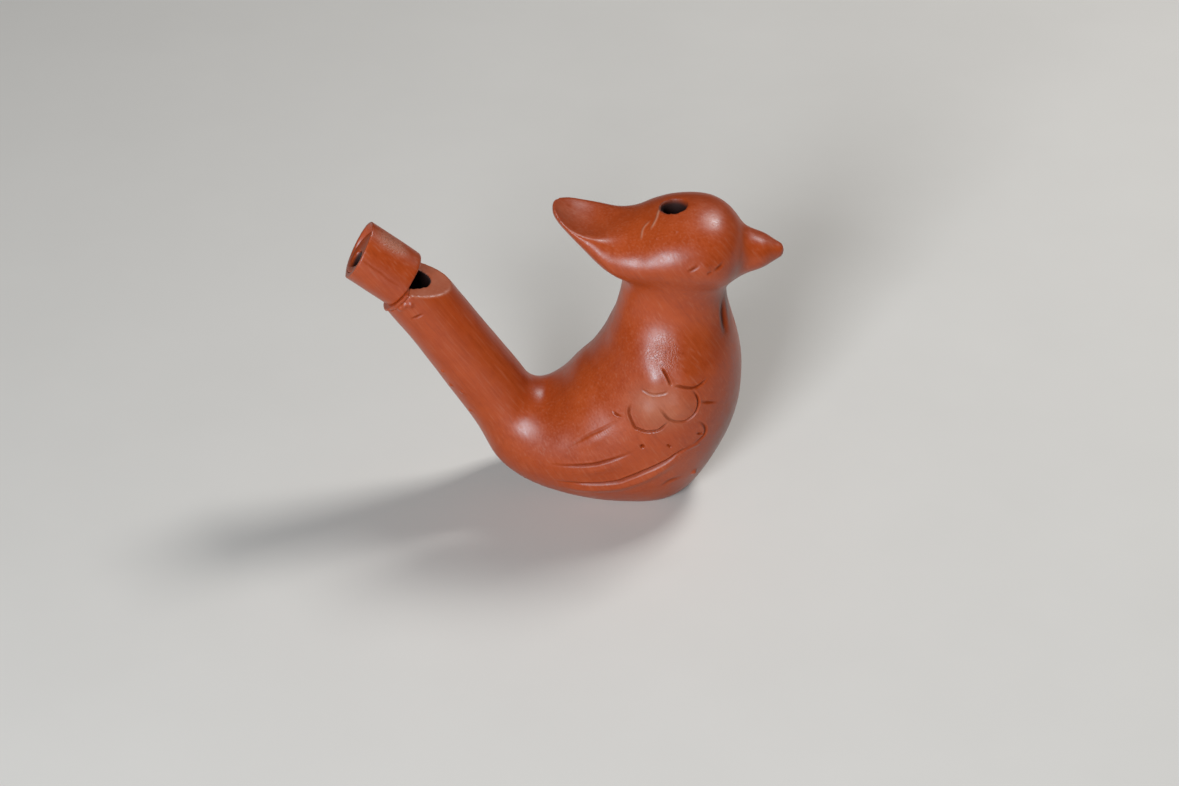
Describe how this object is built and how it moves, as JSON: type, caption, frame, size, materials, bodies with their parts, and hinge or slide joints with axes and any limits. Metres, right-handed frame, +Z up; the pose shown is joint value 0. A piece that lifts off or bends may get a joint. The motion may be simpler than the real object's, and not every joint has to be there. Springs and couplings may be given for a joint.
{
  "type": "bird call",
  "caption": "Hollow clay water whistle shaped as a crested bird, blown through a tail pipe with an air window, with a fill hole in the crown and a flat foot.",
  "frame": {"origin": "point of the flat foot under the breast, on the plane where the two halves meet", "axes": "+X the way the bird faces, +Y towards its left side, +Z up from the surface it stands on"},
  "size_m": [0.0762, 0.0276, 0.0593],
  "materials": {
    "clay_body": "satin",
    "clay_slip": "satin",
    "clay_mouth": "satin",
    "clay_plug": "matte"
  },
  "bodies": {
    "root": {"right_half_shell": "clay_body", "left_half_shell": "clay_body", "back_seam_slip": "clay_slip", "belly_seam_slip": "clay_slip", "mouth_tube": "clay_mouth", "windway_plug": "clay_plug", "mouth_joint_slip": "clay_slip"}
  },
  "joints": []
}
